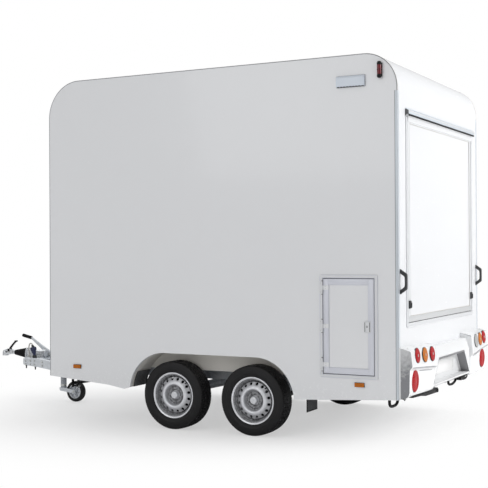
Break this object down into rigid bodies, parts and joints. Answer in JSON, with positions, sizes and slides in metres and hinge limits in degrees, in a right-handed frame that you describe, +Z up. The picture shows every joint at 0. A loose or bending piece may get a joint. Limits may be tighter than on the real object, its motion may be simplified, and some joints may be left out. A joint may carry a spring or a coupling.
{
  "type": "food trailer",
  "caption": "Box-bodied tandem-axle food trailer with a lifting rear hatch, a serving hatch, an entry door, a service locker, corner steadies and a jockey wheel",
  "frame": {"origin": "on the ground under the middle of the trailer's overall length and width", "axes": "+X forward to the tow coupling, +Y to the trailer's left, +Z up"},
  "size_m": [4.8794, 2.28, 3.02],
  "materials": {
    "body_white": "smooth white gel-coated sandwich panel",
    "bumper_white": "smooth white moulding",
    "trim_aluminium": "anodised and lightly worn",
    "galvanised": "hot-dip galvanised, dull",
    "zinc_head": "zinc plated pressing",
    "rim_silver": "silver lacquer",
    "tyre": "road tyre rubber",
    "black_rubber": "moulded rubber",
    "black_plastic": "moulded plastic",
    "black_steel": "black powder coat",
    "liner_grey": "bare moulded liner",
    "lens_red": "clear red lens",
    "lens_amber": "clear amber lens",
    "lens_clear": "clear lens on a bright bowl",
    "plug_blue": "moulded plastic",
    "plate_blank": "blank plate"
  },
  "bodies": {
    "trailer": {"axle_beams": "galvanised", "bellows": "black_rubber", "brake_grip": "black_plastic", "brake_lever": "galvanised", "brake_rod": "galvanised", "chassis_rails": "galvanised", "coupling_head": "zinc_head", "cross_members": "galvanised", "door_frames": "trim_aluminium", "drawbar": "galvanised", "floor_panel": "body_white", "front_wall": "body_white", "grab_handles": "black_plastic", "hatch_frames": "trim_aluminium", "hatch_rails": "trim_aluminium", "jockey_clamp": "galvanised", "lamp_clear": "lens_clear", "lamps_amber": "lens_amber", "lamps_red": "lens_red", "mud_flaps": "black_rubber", "number_plate": "plate_blank", "outline_lamps": "lens_red", "overrun_housing": "galvanised", "rear_bumper": "bumper_white", "rear_wall": "body_white", "roof_shell": "body_white", "side_markers": "lens_amber", "side_wall_left": "body_white", "side_wall_right": "body_white", "steady_brackets": "black_steel", "swing_arms": "galvanised", "tow_lead": "black_rubber", "tow_lever": "black_plastic", "trailer_plug": "plug_blue", "vent_cover": "body_white", "wheel_housings": "liner_grey"},
    "rear_hatch_flap": {"rear_hatch": "body_white", "rear_hatch_latches": "black_plastic"},
    "serving_hatch_flap": {"serving_hatch": "body_white", "serving_hatch_latches": "black_plastic"},
    "service_door_leaf": {"service_door": "body_white", "service_door_lock": "black_plastic"},
    "entry_door_leaf": {"entry_door": "body_white", "entry_door_handle": "black_plastic"},
    "jockey_slide": {"jockey_leg": "galvanised"},
    "jockey_swivel": {"jockey_fork": "galvanised"},
    "jockey_wheel": {"jockey_tyre": "black_rubber", "jockey_rim": "rim_silver"},
    "wheel_rear_left": {"tyre_rear_left": "tyre", "rim_rear_left": "rim_silver"},
    "steady_rear_left_leg": {"steady_rear_left": "black_steel"},
    "wheel_rear_right": {"tyre_rear_right": "tyre", "rim_rear_right": "rim_silver"},
    "steady_rear_right_leg": {"steady_rear_right": "black_steel"},
    "wheel_front_left": {"tyre_front_left": "tyre", "rim_front_left": "rim_silver"},
    "steady_front_left_leg": {"steady_front_left": "black_steel"},
    "wheel_front_right": {"tyre_front_right": "tyre", "rim_front_right": "rim_silver"},
    "steady_front_right_leg": {"steady_front_right": "black_steel"}
  },
  "joints": [
    {"name": "rear_hatch_hinge", "type": "hinge", "parent": "trailer", "child": "rear_hatch_flap", "pos_m": [-2.32931, 0, 2.549], "axis": [0, 1, 0], "range_deg": [0, 92]},
    {"name": "serving_hatch_hinge", "type": "hinge", "parent": "trailer", "child": "serving_hatch_flap", "pos_m": [-0.66531, -1.114, 2.549], "axis": [-1, 0, 0], "range_deg": [0, 92]},
    {"name": "service_door_hinge", "type": "hinge", "parent": "trailer", "child": "service_door_leaf", "pos_m": [-1.69331, 1.1135, 0.922], "axis": [0, 0, -1], "range_deg": [0, 110]},
    {"name": "entry_door_hinge", "type": "hinge", "parent": "trailer", "child": "entry_door_leaf", "pos_m": [0.9782, -0.947, 1.516], "axis": [0, 0, -1], "range_deg": [0, 110]},
    {"name": "jockey_raise", "type": "slide", "parent": "trailer", "child": "jockey_slide", "axis": [0, 0, 1], "range_m": [0, 0.085]},
    {"name": "jockey_turn", "type": "hinge", "parent": "jockey_slide", "child": "jockey_swivel", "pos_m": [1.61469, 0.05, 0.136], "axis": [0, 0, 1], "continuous": true},
    {"name": "jockey_spin", "type": "hinge", "parent": "jockey_swivel", "child": "jockey_wheel", "pos_m": [1.45969, 0.05, 0.104], "axis": [0, 1, 0], "continuous": true},
    {"name": "wheel_rear_left_spin", "type": "hinge", "parent": "trailer", "child": "wheel_rear_left", "pos_m": [-1.04231, 0.9675, 0.289], "axis": [0, 1, 0], "continuous": true},
    {"name": "wheel_rear_right_spin", "type": "hinge", "parent": "trailer", "child": "wheel_rear_right", "pos_m": [-1.04231, -0.9675, 0.289], "axis": [0, 1, 0], "continuous": true},
    {"name": "wheel_front_left_spin", "type": "hinge", "parent": "trailer", "child": "wheel_front_left", "pos_m": [-0.2883, 0.9675, 0.289], "axis": [0, 1, 0], "continuous": true},
    {"name": "wheel_front_right_spin", "type": "hinge", "parent": "trailer", "child": "wheel_front_right", "pos_m": [-0.2883, -0.9675, 0.289], "axis": [0, 1, 0], "continuous": true},
    {"name": "steady_rear_left_fold", "type": "hinge", "parent": "trailer", "child": "steady_rear_left_leg", "pos_m": [-2.2353, 0.83, 0.352], "axis": [1, 0, 0], "range_deg": [0, 33.3]},
    {"name": "steady_rear_right_fold", "type": "hinge", "parent": "trailer", "child": "steady_rear_right_leg", "pos_m": [-2.2353, -0.83, 0.352], "axis": [-1, 0, 0], "range_deg": [0, 33.3]},
    {"name": "steady_front_left_fold", "type": "hinge", "parent": "trailer", "child": "steady_front_left_leg", "pos_m": [0.8847, 0.83, 0.281], "axis": [1, 0, 0], "range_deg": [0, 26.8]},
    {"name": "steady_front_right_fold", "type": "hinge", "parent": "trailer", "child": "steady_front_right_leg", "pos_m": [0.8847, -0.83, 0.281], "axis": [-1, 0, 0], "range_deg": [0, 26.8]}
  ]
}
